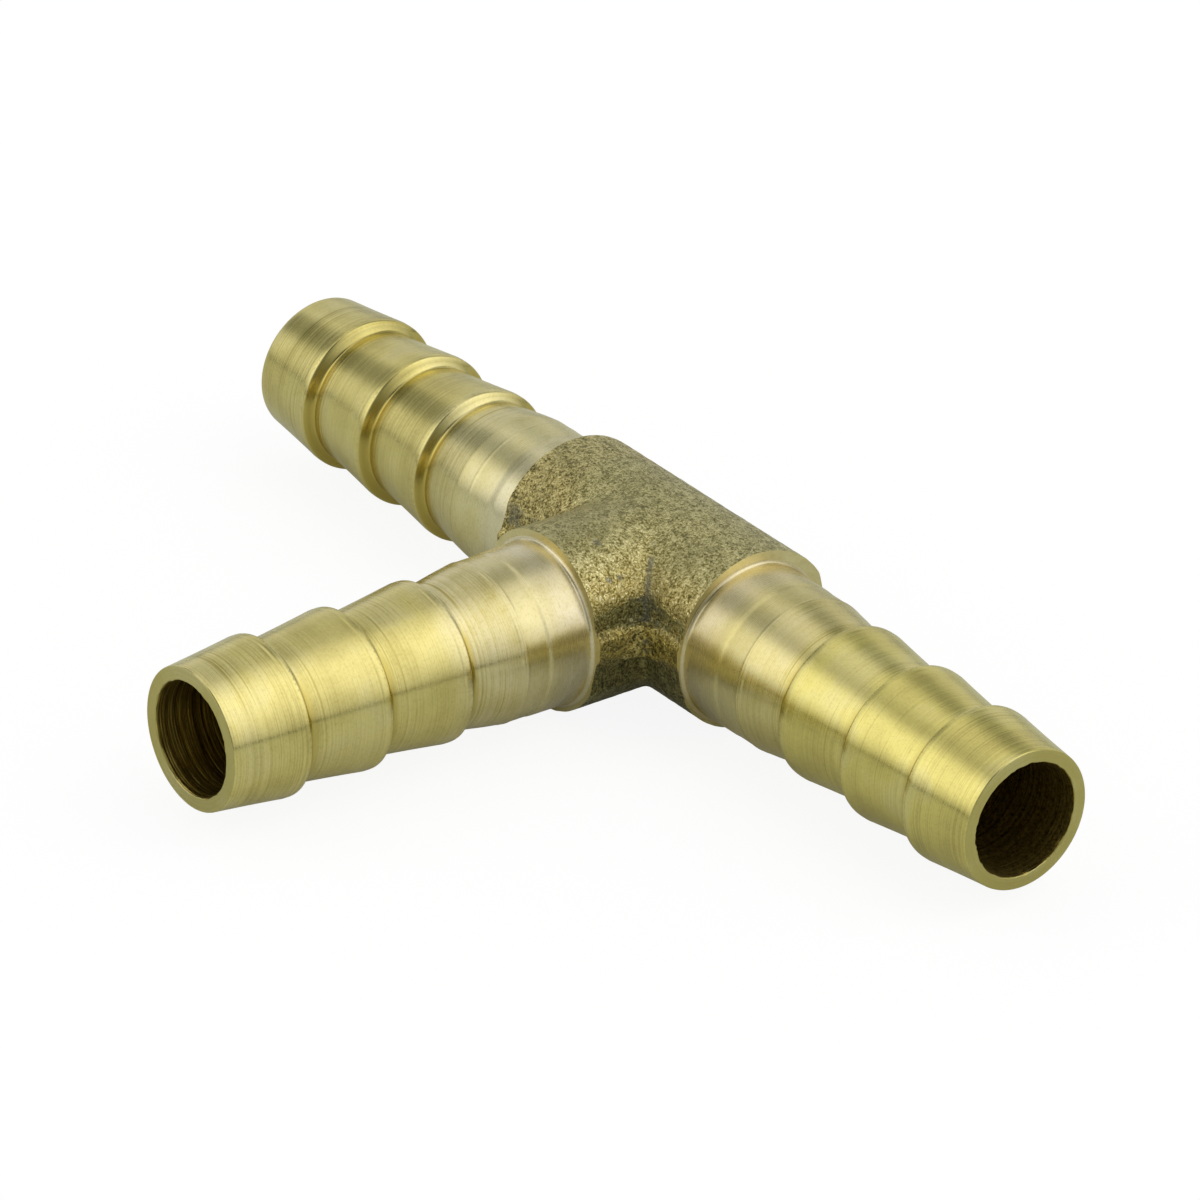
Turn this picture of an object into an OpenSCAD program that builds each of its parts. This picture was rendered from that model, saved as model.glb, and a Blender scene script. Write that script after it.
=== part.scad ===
// Hose barb tee: one forged and machined brass body with three barbed tails.
// The run lies along X, the branch points to -Y and Z is up. The bores cross at the origin.
// Sizes are in millimetres.

/* [Tails] */
// outside diameter over the sharp crest of a ridge
crest_d = 8.5; // [8.2:0.1:9.2]
// outside diameter at the open tip
tip_d = 7.6; // [7.2:0.1:8.0]
// outside diameter at the bottom of the first two grooves
groove_d = 7.44; // [7.2:0.05:7.8]
// outside diameter at the bottom of the groove next to the root
last_groove_d = 7.58; // [7.2:0.05:7.9]
// outside diameter of the plain root, where the hose clip sits
root_d = 8.5; // [8.0:0.1:9.2]
// distance from the tip back to the first crest
first_crest = 4.3; // [3.6:0.1:5.0]
// distance from one crest to the next
crest_pitch = 4.94; // [4.4:0.1:5.4]
// length of the steep face behind a crest
step_len = 0.5; // [0.3:0.1:0.8]
// flat left on the crest by the turning tool
crest_land = 0.14; // [0.08:0.02:0.3]
// length of the cone that rises from the last groove to the root
root_cone_len = 3.0; // [2.0:0.1:4.0]
// edge break at the tip
tip_break = 0.16; // [0.05:0.05:0.3]

/* [Reach] */
// distance from the crossing of the axes to each tip of the run
run_reach = 29.7; // [27:0.1:36]
// distance from the crossing of the axes to the tip of the branch
branch_reach = 29.1; // [27:0.1:36]
// distance from the crossing to the machined shoulders of the run
run_shoulder = 7.6; // [7.2:0.1:9.0]
// distance from the crossing to the machined shoulder of the branch
branch_shoulder = 7.4; // [7.2:0.1:9.0]
// fillet left between a shoulder and its root
shoulder_fillet = 0.28; // [0.1:0.02:0.4]

/* [Bores] */
// bore drilled through the run
run_bore_d = 6.2; // [5.2:0.1:6.4]
// bore drilled into the branch
branch_bore_d = 6.1; // [5.2:0.1:6.1]
// chamfer left at the mouth of each bore
mouth_chamfer = 0.12; // [0.05:0.01:0.2]

/* [Forged middle] */
// diameter of the forged barrel on the run
run_forge_d = 9.8; // [9.6:0.1:10.6]
// diameter of the forged barrel on the branch
branch_forge_d = 9.7; // [9.6:0.1:10.6]
// height of the edge where the round crown of the run turns into its drafted side wall
run_wall_edge = 2.66; // [2.2:0.02:3.2]
// the same height on the branch
branch_wall_edge = 2.5; // [2.2:0.02:3.2]
// draft of the side walls, in degrees
wall_draft = 17; // [14:1:20]
// how far the forging stands behind the axis of the run, away from the branch
forge_back = 0.2; // [0:0.05:0.3]
// how far the forging stands above the axes
forge_up = 0.1; // [0:0.05:0.2]
// radius left in the corner between branch and run
crotch_r = 0.9; // [0.5:0.1:1.2]
// small chamfer on the rim of each machined shoulder
rim_chamfer = 0.15; // [0.05:0.05:0.2]

/* [Flash land] */
// height of the band where the flash was trimmed off
land_h = 1.4; // [1.0:0.1:1.8]
// height of the middle of that band above the middle of the forging
land_up = 0.26; // [0:0.02:0.4]
// half width of the band across the run
land_run_half = 4.84; // [4.8:0.02:5.1]
// half width of the band across the branch
land_branch_half = 4.86; // [4.8:0.02:5.1]
// chamfer along the edges of the band
land_chamfer = 0.18; // [0.1:0.02:0.3]
// radius of the band in the corner between branch and run
land_corner_r = 1.2; // [0.8:0.1:1.6]

/* [Hidden] */
$fn = 64;
ridge_count = 3;
fillet_steps = 3;
crotch_steps = 10;
// how far up the forging the corner is rounded, and how much of the corner radius fills it
crotch_top = 0.84;
crotch_fill = 0.33;
overlap = 1;
run_forge_r = run_forge_d / 2;
branch_forge_r = branch_forge_d / 2;
// the turned root carries on inside the forging, so the two stay joined
root_inside = 3;
// the flash land stops short of the shoulders
land_gap = 0.3;

brass = [0.80, 0.72, 0.40];
forged_brass = [0.62, 0.56, 0.32];

// where a crest lies, measured from the tip; the first one is the nearest to the tip
function crest_at(i) = first_crest + i * crest_pitch;
function groove_r(i) = (i == ridge_count - 1 ? last_groove_d : groove_d) / 2;

// one barbed tail as a solid of revolution about Z, from inside the forging to the open tip
module barbed_tail(reach, shoulder) {
    ridge = [for (i = [ridge_count - 1 : -1 : 0]) each [
        [groove_r(i), reach - crest_at(i) - step_len],
        [crest_d / 2 - step_slack(), reach - crest_at(i) - crest_land],
        [crest_d / 2, reach - crest_at(i)]
    ]];
    fillet = [for (k = [0 : fillet_steps])
        let (a = 90 * k / fillet_steps)
        [root_d / 2 + shoulder_fillet * (1 - sin(a)), shoulder + shoulder_fillet * (1 - cos(a))]];
    cone_start = reach - crest_at(ridge_count - 1) - step_len - root_cone_len;
    rotate_extrude()
        polygon(concat(
            [[0, root_inside], [root_d / 2 + shoulder_fillet, root_inside]],
            fillet,
            [[root_d / 2, cone_start]],
            ridge,
            [[tip_d / 2 + tip_break * tip_slope(), reach - tip_break],
             [tip_d / 2 - tip_break / 2, reach],
             [0, reach]]
        ));
}

// the crest is worn slightly lower on the side of its steep face
function step_slack() = crest_land / 3;
// slope of the ramp between the tip and the first crest
function tip_slope() = (crest_d - tip_d) / 2 / first_crest;

// half section of a forged barrel: a round crown, and side walls with draft
module drafted_sides(r, edge) {
    wide = round_half(r, edge) + edge * tan(wall_draft);
    tall = r + overlap;
    narrow = wide - tall * tan(wall_draft);
    polygon([[wide, 0], [narrow, tall], [-narrow, tall], [-wide, 0], [-narrow, -tall], [narrow, -tall]]);
}

// a forged barrel about Z with a chamfered rim on one or both ends
module barrel_round(r, z0, z1, both) {
    low = both ? rim_chamfer : 0;
    translate([0, 0, z0 + low]) cylinder(r = r, h = z1 - z0 - low - rim_chamfer);
    translate([0, 0, z1 - rim_chamfer]) cylinder(r1 = r, r2 = r - rim_chamfer, h = rim_chamfer);
    if (both) translate([0, 0, z0]) cylinder(r1 = r - rim_chamfer, r2 = r, h = rim_chamfer);
}

module run_barrel() {
    translate([0, forge_back, forge_up])
        intersection() {
            rotate([0, 90, 0]) barrel_round(run_forge_r, -run_shoulder, run_shoulder, true);
            rotate([90, 0, 90])
                linear_extrude(height = 2 * run_shoulder + 2 * overlap, center = true)
                    drafted_sides(run_forge_r, run_wall_edge);
        }
}

module branch_barrel() {
    translate([0, 0, forge_up])
        intersection() {
            rotate([90, 0, 0]) barrel_round(branch_forge_r, -forge_back, branch_shoulder, false);
            translate([0, overlap, 0]) rotate([90, 0, 0])
                linear_extrude(height = branch_shoulder + 2 * overlap)
                    drafted_sides(branch_forge_r, branch_wall_edge);
        }
}

// half width of a forged barrel at a height above its middle
function round_half(r, z) = sqrt(max(r * r - z * z, 0));
function wall_half(r, edge, z) = round_half(r, edge) + (edge - abs(z)) * tan(wall_draft);
function forge_half(r, edge, z) =
    abs(z) < edge ? min(round_half(r, z), wall_half(r, edge, z)) : round_half(r, z);

// rounds the corner between branch and run: a quarter turn of a curved wedge about the middle
// of the corner radius. It follows the branch wall at each height and fades out near the crown.
module crotch_blend() {
    top = crotch_top * branch_forge_r;
    function gap(z) = branch_forge_r + crotch_r - forge_half(branch_forge_r, branch_wall_edge, z);
    function depth(z) = gap(z) * sqrt(2) - crotch_fill * crotch_r * (1 - 1.2 * pow(z / top, 2));
    face = [for (k = [0 : crotch_steps]) let (z = top * (2 * k / crotch_steps - 1)) [depth(z), z]];
    back = depth(top) + overlap / 2;
    translate([branch_forge_r + crotch_r, forge_back - run_forge_r - crotch_r, forge_up])
        rotate([0, 0, 90])
            rotate_extrude(angle = 90)
                polygon(concat(face, [[back, top], [back, -top]]));
}

// section of the flash land: a flat band with chamfered edges
module land_section(half) {
    c = land_chamfer;
    h = land_h / 2;
    polygon([[half, c - h], [half, h - c], [half - 2 * c, h], [2 * c - half, h],
             [-half, h - c], [-half, c - h], [2 * c - half, -h], [half - 2 * c, -h]]);
}

// the band left where the flash was trimmed, all round the parting plane of the forging
module flash_land() {
    run_long = 2 * (run_shoulder - land_gap);
    translate([0, forge_back, forge_up + land_up])
        rotate([90, 0, 90]) linear_extrude(height = run_long, center = true) land_section(land_run_half);
    translate([0, 0, forge_up + land_up])
        rotate([90, 0, 0]) linear_extrude(height = branch_shoulder - land_gap) land_section(land_branch_half);
    for (side = [0, 1]) mirror([side, 0, 0]) land_corner();
}

// concave corner of the band: a square block less the round of the corner
module land_corner() {
    x = land_branch_half + land_corner_r;
    y = forge_back - land_run_half - land_corner_r;
    h = land_h - 2 * land_chamfer;
    translate([0, 0, forge_up + land_up - h / 2])
        difference() {
            translate([land_branch_half - overlap, y, 0])
                cube([land_corner_r + overlap, land_corner_r + overlap, h]);
            translate([x, y, -overlap]) cylinder(r = land_corner_r, h = h + 2 * overlap);
        }
}

module forged_middle() {
    color(forged_brass) {
        run_barrel();
        branch_barrel();
        for (side = [0, 1]) mirror([side, 0, 0]) crotch_blend();
        flash_land();
    }
}

module turned_tails() {
    color(brass) {
        rotate([0, 90, 0]) barbed_tail(run_reach, run_shoulder);
        rotate([0, -90, 0]) barbed_tail(run_reach, run_shoulder);
        rotate([90, 0, 0]) barbed_tail(branch_reach, branch_shoulder);
    }
}

// chamfer cutter for the mouth of a bore, about Z with the mouth at the given height
module mouth(d, reach) {
    translate([0, 0, reach - mouth_chamfer])
        cylinder(d1 = d, d2 = d + 4 * mouth_chamfer, h = 2 * mouth_chamfer);
}

module bores() {
    rotate([0, 90, 0]) cylinder(d = run_bore_d, h = 2 * (run_reach + overlap), center = true);
    rotate([90, 0, 0]) cylinder(d = branch_bore_d, h = branch_reach + overlap);
    rotate([0, 90, 0]) mouth(run_bore_d, run_reach);
    rotate([0, -90, 0]) mouth(run_bore_d, run_reach);
    rotate([90, 0, 0]) mouth(branch_bore_d, branch_reach);
}

module body() {
    difference() {
        union() {
            forged_middle();
            turned_tails();
        }
        bores();
    }
}

body();
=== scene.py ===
import math

import bpy
from mathutils import Matrix, Vector, noise as turbulence


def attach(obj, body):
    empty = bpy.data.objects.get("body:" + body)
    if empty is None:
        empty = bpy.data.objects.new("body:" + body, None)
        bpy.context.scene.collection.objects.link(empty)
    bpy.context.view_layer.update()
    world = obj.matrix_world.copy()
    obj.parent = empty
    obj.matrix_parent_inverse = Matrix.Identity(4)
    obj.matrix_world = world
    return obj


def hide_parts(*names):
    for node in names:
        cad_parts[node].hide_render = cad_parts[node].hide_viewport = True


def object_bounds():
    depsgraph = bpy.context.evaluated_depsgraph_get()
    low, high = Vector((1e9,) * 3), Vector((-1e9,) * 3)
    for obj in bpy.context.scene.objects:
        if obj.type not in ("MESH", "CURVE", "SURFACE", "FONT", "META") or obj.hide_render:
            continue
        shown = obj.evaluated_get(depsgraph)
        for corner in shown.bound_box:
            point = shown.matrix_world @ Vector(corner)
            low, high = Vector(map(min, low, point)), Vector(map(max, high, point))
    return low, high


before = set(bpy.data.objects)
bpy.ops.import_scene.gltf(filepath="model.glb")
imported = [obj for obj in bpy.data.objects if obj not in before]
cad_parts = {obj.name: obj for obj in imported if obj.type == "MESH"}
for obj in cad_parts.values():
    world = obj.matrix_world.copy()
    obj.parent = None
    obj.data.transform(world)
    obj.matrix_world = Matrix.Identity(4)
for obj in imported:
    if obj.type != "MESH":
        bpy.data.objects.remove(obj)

CAD_BOX = [list(corner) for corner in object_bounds()]

bl_info = {
    "name": "Brass hose barb tee",
    "version": (1, 0, 0),
    "blender": (4, 5, 0),
    "location": "3D View > Sidebar > Barb Tee",
    "description": "A forged and turned brass tee with three barbed tails, and its photo table",
    "category": "Add Mesh",
}

MM = 0.001
# The metal is modelled a thousand times too large, one unit to the millimetre, and shrunk at the end,
# because merging, remeshing and cutting have limits near a tenth of a millimetre.
ENLARGED = 1000.0


# Sizes and colours a user would change

def number(text, hint, value, **limits):
    return bpy.props.FloatProperty(name=text, description=hint, default=value, **limits)


def length(text, hint, millimetres):
    return number(text, hint, millimetres * MM, unit="LENGTH", subtype="DISTANCE", precision=5)


def angle(text, hint, degrees):
    return number(text, hint, math.radians(degrees), unit="ROTATION", subtype="ANGLE")


def linear(code):
    """An sRGB colour such as 'E5D994' as linear red, green and blue."""
    out = []
    for i in (0, 2, 4):
        c = int(code[i:i + 2], 16) / 255.0
        out.append(c / 12.92 if c <= 0.04045 else ((c + 0.055) / 1.055) ** 2.4)
    return tuple(out)


def colour(text, hint, code):
    return bpy.props.FloatVectorProperty(name=text, description=hint, default=linear(code), size=3,
                                         min=0.0, max=1.0, subtype="COLOR")


class TailSizes(bpy.types.PropertyGroup):
    crest_radius: length("Crest radius", "Radius over the sharp crest of a ridge", 4.25)
    tip_radius: length("Tip radius", "Outside radius behind the broken edge of the tip", 3.80)
    groove_radius: length("Groove radius", "Radius at the bottom of the two outer grooves", 3.72)
    last_groove_radius: length("Last groove radius", "Radius at the bottom of the groove by the root", 3.79)
    root_radius: length("Root radius", "Radius of the plain root, where the clip sits", 4.25)
    first_crest: length("First crest", "From the tip back to the first crest", 4.3)
    pitch: length("Pitch", "From one crest to the next", 4.94)
    step: length("Step", "Length of the steep face behind a crest", 0.5)
    cone: length("Root cone", "Length of the cone between last groove and root", 3.0)
    fillet: length("Shoulder fillet", "Fillet between shoulder and root", 0.21)
    run_reach: length("Run reach", "From the crossing to each tip of the run", 29.7)
    branch_reach: length("Branch reach", "From the crossing to the tip of the branch", 29.1)
    run_bore: length("Run bore", "Radius of the bore through the run", 3.1)
    branch_bore: length("Branch bore", "Radius of the branch bore", 3.05)
    sides: bpy.props.IntProperty(name="Sides", description="Faces round a tail", default=112, min=3)


class ForgingSizes(bpy.types.PropertyGroup):
    run_radius: length("Run barrel", "Radius of the forged barrel on the run", 4.88)
    branch_radius: length("Branch barrel", "Radius of the forged barrel on the branch", 4.83)
    run_shoulder: length("Run shoulder", "From the crossing to the shoulders of the run", 7.6)
    branch_shoulder: length("Branch shoulder", "From the crossing to the shoulder of the branch", 7.4)
    back: length("Set back", "How far the forging stands behind the axis of the run", 0.2)
    up: length("Set up", "How far the forging stands above the axes", 0.1)
    wall_edge: length("Wall edge", "Height where the round crown turns into the wall", 2.5)
    draft: angle("Draft", "Lean of the side walls", 13.0)
    land_height: length("Flash land", "Height of the band where the flash was trimmed", 1.25)
    land_up: length("Land height", "How far the band stands above the middle of the forging", 0.26)
    land_out: length("Land half width", "Half width of the forging across the band", 4.84)
    land_corner: length("Land corner", "Radius of the band in the corner of the tee", 1.2)
    corner_height: length("Corner height", "Height of the band where it turns the corner", 1.9)
    grain: length("Skin grain", "Size of the lumps of the skin", 0.42)
    grain_height: length("Skin height", "Height of those lumps", 0.03)
    voxel: length("Mesh size", "Length of the mesh's edges on the forging", 0.105)


class BrassLook(bpy.types.PropertyGroup):
    # The tails' root and ridge tones differ from tail to tail, and the roots are paler: painted light, lit
    # copies of one brass, with a painted sheen on each root.
    right_root: colour("Right root", "Brass of the right root, cut by a form tool", "E0D2A9")
    right_ridge: colour("Right ridges", "Clean yellow brass of the right ridges", "E5D981")
    left_root: colour("Left root", "Pale brass of the left root", "E9E1BA")
    left_ridge: colour("Left ridges", "Yellow brass of the left ridges", "E6D98C")
    branch_root: colour("Branch root", "Palest brass, on the root of the branch", "ECE1C1")
    branch_ridge: colour("Branch ridges", "Pale yellow brass of the branch's ridges", "E8DB8E")
    shoulder: colour("Shoulders", "Brass of the machined shoulders", "E4D9A3")
    pale: colour("Haze", "Pale haze of fine scratches", "E2D9B0")
    stain: colour("Handled brass", "Darker film of old coolant and fingers", "BFB168")
    # painted shade: the brown at the foot of each step stands in for the shade there
    groove: colour("Foot of a step", "Brass browned by oil in the foot of a step", "C6B35F")
    facing: colour("Faced tip", "Duller brass of the faced tips", "C9C079")
    skin_high: colour("Forged skin, high", "Grains that stand proud on the forged skin", "F2E2A0")
    skin_low: colour("Forged skin, low", "Hollows of the forged skin", "5E5632")
    land: colour("Flash land", "Gold cast of the band where the flash was sheared off", "E4DEB6")
    scale: colour("Scale", "Blue-grey scale left in the corners", "66675F")
    bore: colour("Bore", "Brass darkened in the bore", "E0CC76")


class StageSettings(bpy.types.PropertyGroup):
    azimuth: angle("Azimuth", "Camera's place round the part, from the branch side", 52.256)
    elevation: angle("Elevation", "Camera's height above the part", 28.296)
    roll: angle("Roll", "Camera's lean", 1.656)
    distance: length("Distance", "From the crossing of the bores to the camera", 522.1)
    lens: number("Lens", "Focal length in mm on a 36 mm wide sensor", 307.2, min=1.0)
    # where the crossing shows in the picture, in frame widths from its middle
    shift_right: number("Right of centre", "How far right of the middle the crossing shows", 0.048807)
    shift_down: number("Below centre", "How far below the middle the crossing shows", -0.014271)
    tent_level: number("Tent level", "Brightness of the tent's cloth", 0.70, min=0.0)
    horizon: number("Tent foot", "Share of it left at the foot of the tent", 0.78, min=0.0)
    board: colour("Board", "Matt board that the tee lies on", "DEE1DA")
    mirrored: number("White in the metal", "How much of the floor's clean white the metal mirrors", 0.06,
                     min=0.0, max=1.0)


# Small helpers

# Points of an enlarged piece closer than this, in mm, become one.
SAME_POINT = 1e-4
TURN = 2 * math.pi


def clamp(value, low=0.0, high=1.0):
    return min(high, max(low, value))


def enlarged(group, *keys):
    """Sizes of a group in mm, as an enlarged piece has them."""
    return [getattr(group, key) * ENLARGED for key in keys]


def bell(away, width):
    """Falls smoothly from 1 at no distance to about a third at the width."""
    return math.exp(-(away / width) ** 2)


def deselect():
    if bpy.context.mode != "OBJECT":
        bpy.ops.object.mode_set(mode="OBJECT")
    bpy.ops.object.select_all(action="DESELECT")


def only(obj):
    deselect()
    obj.select_set(True)
    bpy.context.view_layer.objects.active = obj


def edit_all():
    bpy.ops.object.mode_set(mode="EDIT")
    bpy.ops.mesh.select_all(action="SELECT")


def start(name):
    """Names the primitive that was just added, opens it for editing and selects all of it."""
    obj = bpy.context.object
    obj.name = obj.data.name = name
    edit_all()
    return obj


def draw_loop(name, points):
    """Draws a closed line through the points, vertex by vertex, and leaves it open for editing."""
    deselect()
    bpy.ops.mesh.primitive_plane_add(size=0.1)
    obj = start(name)
    bpy.ops.mesh.merge(type="CENTER")
    bpy.ops.transform.translate(value=points[0])
    for here, there in zip(points, points[1:] + points[:1]):
        bpy.ops.mesh.extrude_region_move(
            TRANSFORM_OT_translate={"value": tuple(b - a for a, b in zip(here, there))})
    bpy.ops.mesh.select_all(action="SELECT")
    bpy.ops.mesh.remove_doubles(threshold=SAME_POINT)
    return obj


def prism(name, points, reach):
    """Fills a drawn loop and extrudes it by the vector reach."""
    obj = draw_loop(name, points)
    bpy.ops.mesh.edge_face_add()
    bpy.ops.mesh.extrude_region_move(TRANSFORM_OT_translate={"value": reach})
    bpy.ops.mesh.select_all(action="SELECT")
    bpy.ops.mesh.normals_make_consistent(inside=False)
    bpy.ops.object.mode_set(mode="OBJECT")
    return obj


def apply_modifier(obj, kind, **settings):
    only(obj)
    bpy.ops.object.modifier_add(type=kind)
    modifier = obj.modifiers[-1]
    for key, value in settings.items():
        setattr(modifier, key, value)
    bpy.ops.object.modifier_apply(modifier=modifier.name)


def join(objects, name):
    only(objects[0])
    for other in objects[1:]:
        other.select_set(True)
    bpy.ops.object.join()
    objects[0].name = objects[0].data.name = name
    return objects[0]


def to_metres(obj):
    """Shrinks an enlarged piece to its true size about the origin."""
    only(obj)
    bpy.ops.object.transform_apply(location=True, rotation=True, scale=True)
    edit_all()
    bpy.ops.transform.resize(value=(MM, MM, MM), center_override=(0, 0, 0))
    bpy.ops.object.mode_set(mode="OBJECT")


def add_marks(mesh, keys):
    """Adds marks to every point and gives their values. Adding one moves the others, so all come first."""
    for key in keys:
        mesh.attributes.new(key, "FLOAT", "POINT")
    return [mesh.attributes[key].data for key in keys]


def unwrap_lathe(obj, axis):
    """Gives turned faces a map: centimetres along the axis on barrels and outwards on faces, by turns."""
    mesh = obj.data
    layer = mesh.uv_layers.get("lathe") or mesh.uv_layers.new(name="lathe")
    across = [i for i in range(3) if i != axis]
    for face in mesh.polygons:
        flat = abs(face.normal[axis]) > 0.9
        first = None
        for loop in face.loop_indices:
            place = mesh.vertices[mesh.loops[loop].vertex_index].co
            a, b = place[across[0]], place[across[1]]
            turn = math.atan2(a, b) / TURN
            if first is None:
                first = turn
            turn += round(first - turn)
            along = math.hypot(a, b) if flat else abs(place[axis])
            layer.data[loop].uv = (along / 10.0, turn)


# Materials

# Scale of a pattern that has one grain to the millimetre, as the object's places are in metres.
PER_MM = 1000.0
# A ramp along a tail covers 3 cm from the crossing.
RAMP_REACH = 3.0


def node(tree, kind, inputs=None, stops=(), **settings):
    """Adds a node with its settings and links. An input takes a node, an output of one, or a value.

    In a Mix node 0 is the amount, 2 and 3 are numbers, 6 and 7 are colours, and output 2 is the colour.
    """
    new = tree.nodes.new("ShaderNode" + kind)
    for key, value in settings.items():
        setattr(new, key, value)
    for key, source in (inputs or {}).items():
        socket = new.inputs[key]
        if isinstance(source, bpy.types.Node):
            source = source.outputs[0]
        if isinstance(source, bpy.types.NodeSocket):
            tree.links.new(source, socket)
        else:
            socket.default_value = (*source, 1.0) if socket.type == "RGBA" else source
    band = new.color_ramp.elements if stops else ()
    while len(band) < len(stops):
        band.new(0.5)
    for stop, (place, shade) in zip(band, stops):
        stop.position = place
        stop.color = (*shade, 1.0)
    return new


def grey(level):
    return (level, level, level)


def new_material(name, roughness, metallic=1.0, anisotropic=0.0):
    material = bpy.data.materials.new(name)
    material.use_nodes = True
    tree = material.node_tree
    shader = tree.nodes["Principled BSDF"]
    for key, value in (("Metallic", metallic), ("Roughness", roughness), ("Anisotropic", anisotropic)):
        shader.inputs[key].default_value = value
    return material, tree, shader


def rings(tree, spacing, around):
    """Place for a pattern of rings: spacing between rings and length along them, both in mm."""
    along = node(tree, "SeparateXYZ", {0: node(tree, "UVMap", uv_map="lathe")}).outputs["X"]
    spot = node(tree, "SeparateXYZ", {0: node(tree, "TexCoord").outputs["Object"]})
    across = node(tree, "Math", {0: spot.outputs["X"], 1: spot.outputs["Y"]}, operation="ADD")
    joined = node(tree, "CombineXYZ", {0: along, 1: across, 2: spot.outputs["Z"]})
    # the map counts in centimetres and the object in metres
    scale = (10.0 / spacing, 1.0 / (around * MM), 1.0 / (around * MM))
    return node(tree, "Mapping", {"Vector": joined, "Scale": scale})


def turned_brass(look, name, roughness, root, ridge):
    """Free-cutting brass, turned on a lathe.

    The tool leaves rings about 0.1 mm apart, plainest at the foot of each ridge, so a reflection runs long
    along the tail and stays sharp across it. The root, cut with a form tool, is smoother, and its paler
    tone is a painted sheen. A thin film dulls the metal in patches, lead and oxide in fine grains, and
    painted shade browns the foot of each step, less where the face looks up. The crests are pitted where
    they were knocked.
    """
    material, tree, shader = new_material(name, roughness, anisotropic=0.72)
    feed, crest, groove = (node(tree, "Attribute", attribute_name=key).outputs["Fac"]
                           for key in ("feed", "crest", "groove"))
    place = node(tree, "TexCoord").outputs["Object"]
    # the feed of the tool, its chatter, stray rings, clouds 3 mm wide and specks of 0.15 mm
    fine, wide, stray, cloud, speck = (
        node(tree, "TexNoise", {"Vector": where, "Scale": scale, "Detail": detail, "Roughness": broken})
        for where, scale, detail, broken in (
            (rings(tree, 0.09, 40.0), 1.0, 2.0, 0.7), (rings(tree, 0.32, 30.0), 1.0, 2.0, 0.5),
            (rings(tree, 0.16, 12.0), 1.0, 1.0, 0.5), (place, 0.3 * PER_MM, 3.0, 0.55),
            (place, 6.5 * PER_MM, 2.0, 0.6)))
    # how much of each film or mark lies at a spot: from the low to the high end of a pattern
    haze, film, lines, strays, lead, pits = (
        node(tree, "ValToRGB", {0: pattern}, ((low, grey(first)), (high, grey(last))))
        for pattern, low, first, high, last in (
            (cloud, 0.36, 0.28, 0.50, 0.0), (cloud, 0.46, 0.0, 0.72, 0.50), (fine, 0.36, 0.70, 0.56, 0.0),
            (stray, 0.66, 0.0, 0.72, 0.9), (speck, 0.48, 0.0, 0.70, 0.26), (speck, 0.54, 0.0, 0.66, 0.7)))
    worn = lines
    for value, kind in ((strays, "ADD"), (feed, "MULTIPLY"), (film, "ADD"), (lead, "ADD")):
        worn = node(tree, "Math", {0: worn, 1: value}, operation=kind)
    pits = node(tree, "Math", {0: pits, 1: crest}, operation="MULTIPLY")
    along = node(tree, "SeparateXYZ", {0: node(tree, "UVMap", uv_map="lathe")}).outputs["X"]
    along = node(tree, "Math", {0: along, 1: RAMP_REACH}, operation="DIVIDE")
    # the root's tone ends at 10.2 mm from the crossing, where the form tool's first pass ends, and the
    # ridge's tone starts at 16.2 mm, just past the crest next to the root. The tones are painted light: the
    # paler root is a painted sheen, and each tail's own pair is a lit copy of the same brass.
    cone = tuple((a + b) / 2 for a, b in zip(root, ridge))
    tone = node(tree, "ValToRGB", {0: along}, ((0.29, root), (0.34, cone), (0.48, cone), (0.54, ridge)))
    # groove is painted shade: the foot of each step is browned where shade falls in it
    for much, shade in ((haze, look.pale), (worn, look.stain), (pits, linear("A39A62")),
                        (groove, look.groove)):
        tone = node(tree, "Mix", {0: much, 6: tone, 7: shade}, data_type="RGBA").outputs[2]
    tree.links.new(tone, shader.inputs["Base Color"])
    # rough and smooth rings by turns, where the feed shows, and an even satin on the root
    satin = node(tree, "Math", {0: feed, 1: -0.45, 2: 1.40}, operation="MULTIPLY_ADD")
    rough = node(tree, "Math", {0: fine, 1: 1.8, 2: -0.9}, operation="MULTIPLY_ADD")
    for value, kind in ((feed, "MULTIPLY"), (1.0, "ADD"), (satin, "MULTIPLY"), (roughness, "MULTIPLY")):
        rough = node(tree, "Math", {0: rough, 1: value}, operation=kind)
    tree.links.new(rough.outputs[0], shader.inputs["Roughness"])
    # relief of the feed, of its chatter and of the specks: how deep it is, in mm
    ripple, chatter = (node(tree, "Math", {0: height, 1: feed}, operation="MULTIPLY")
                       for height in (fine, wide))
    relief = {}
    for height, deep in ((ripple, 0.0095), (chatter, 0.0065), (speck, 0.0006)):
        bump = node(tree, "Bump", {"Height": height, "Strength": 1.0, "Distance": deep * MM, **relief})
        relief = {"Normal": bump}
    tree.links.new(bump.outputs[0], shader.inputs["Normal"])
    tangent = node(tree, "Tangent", direction_type="UV_MAP", uv_map="lathe")
    tree.links.new(tangent.outputs[0], shader.inputs["Tangent"])
    return material


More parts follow.
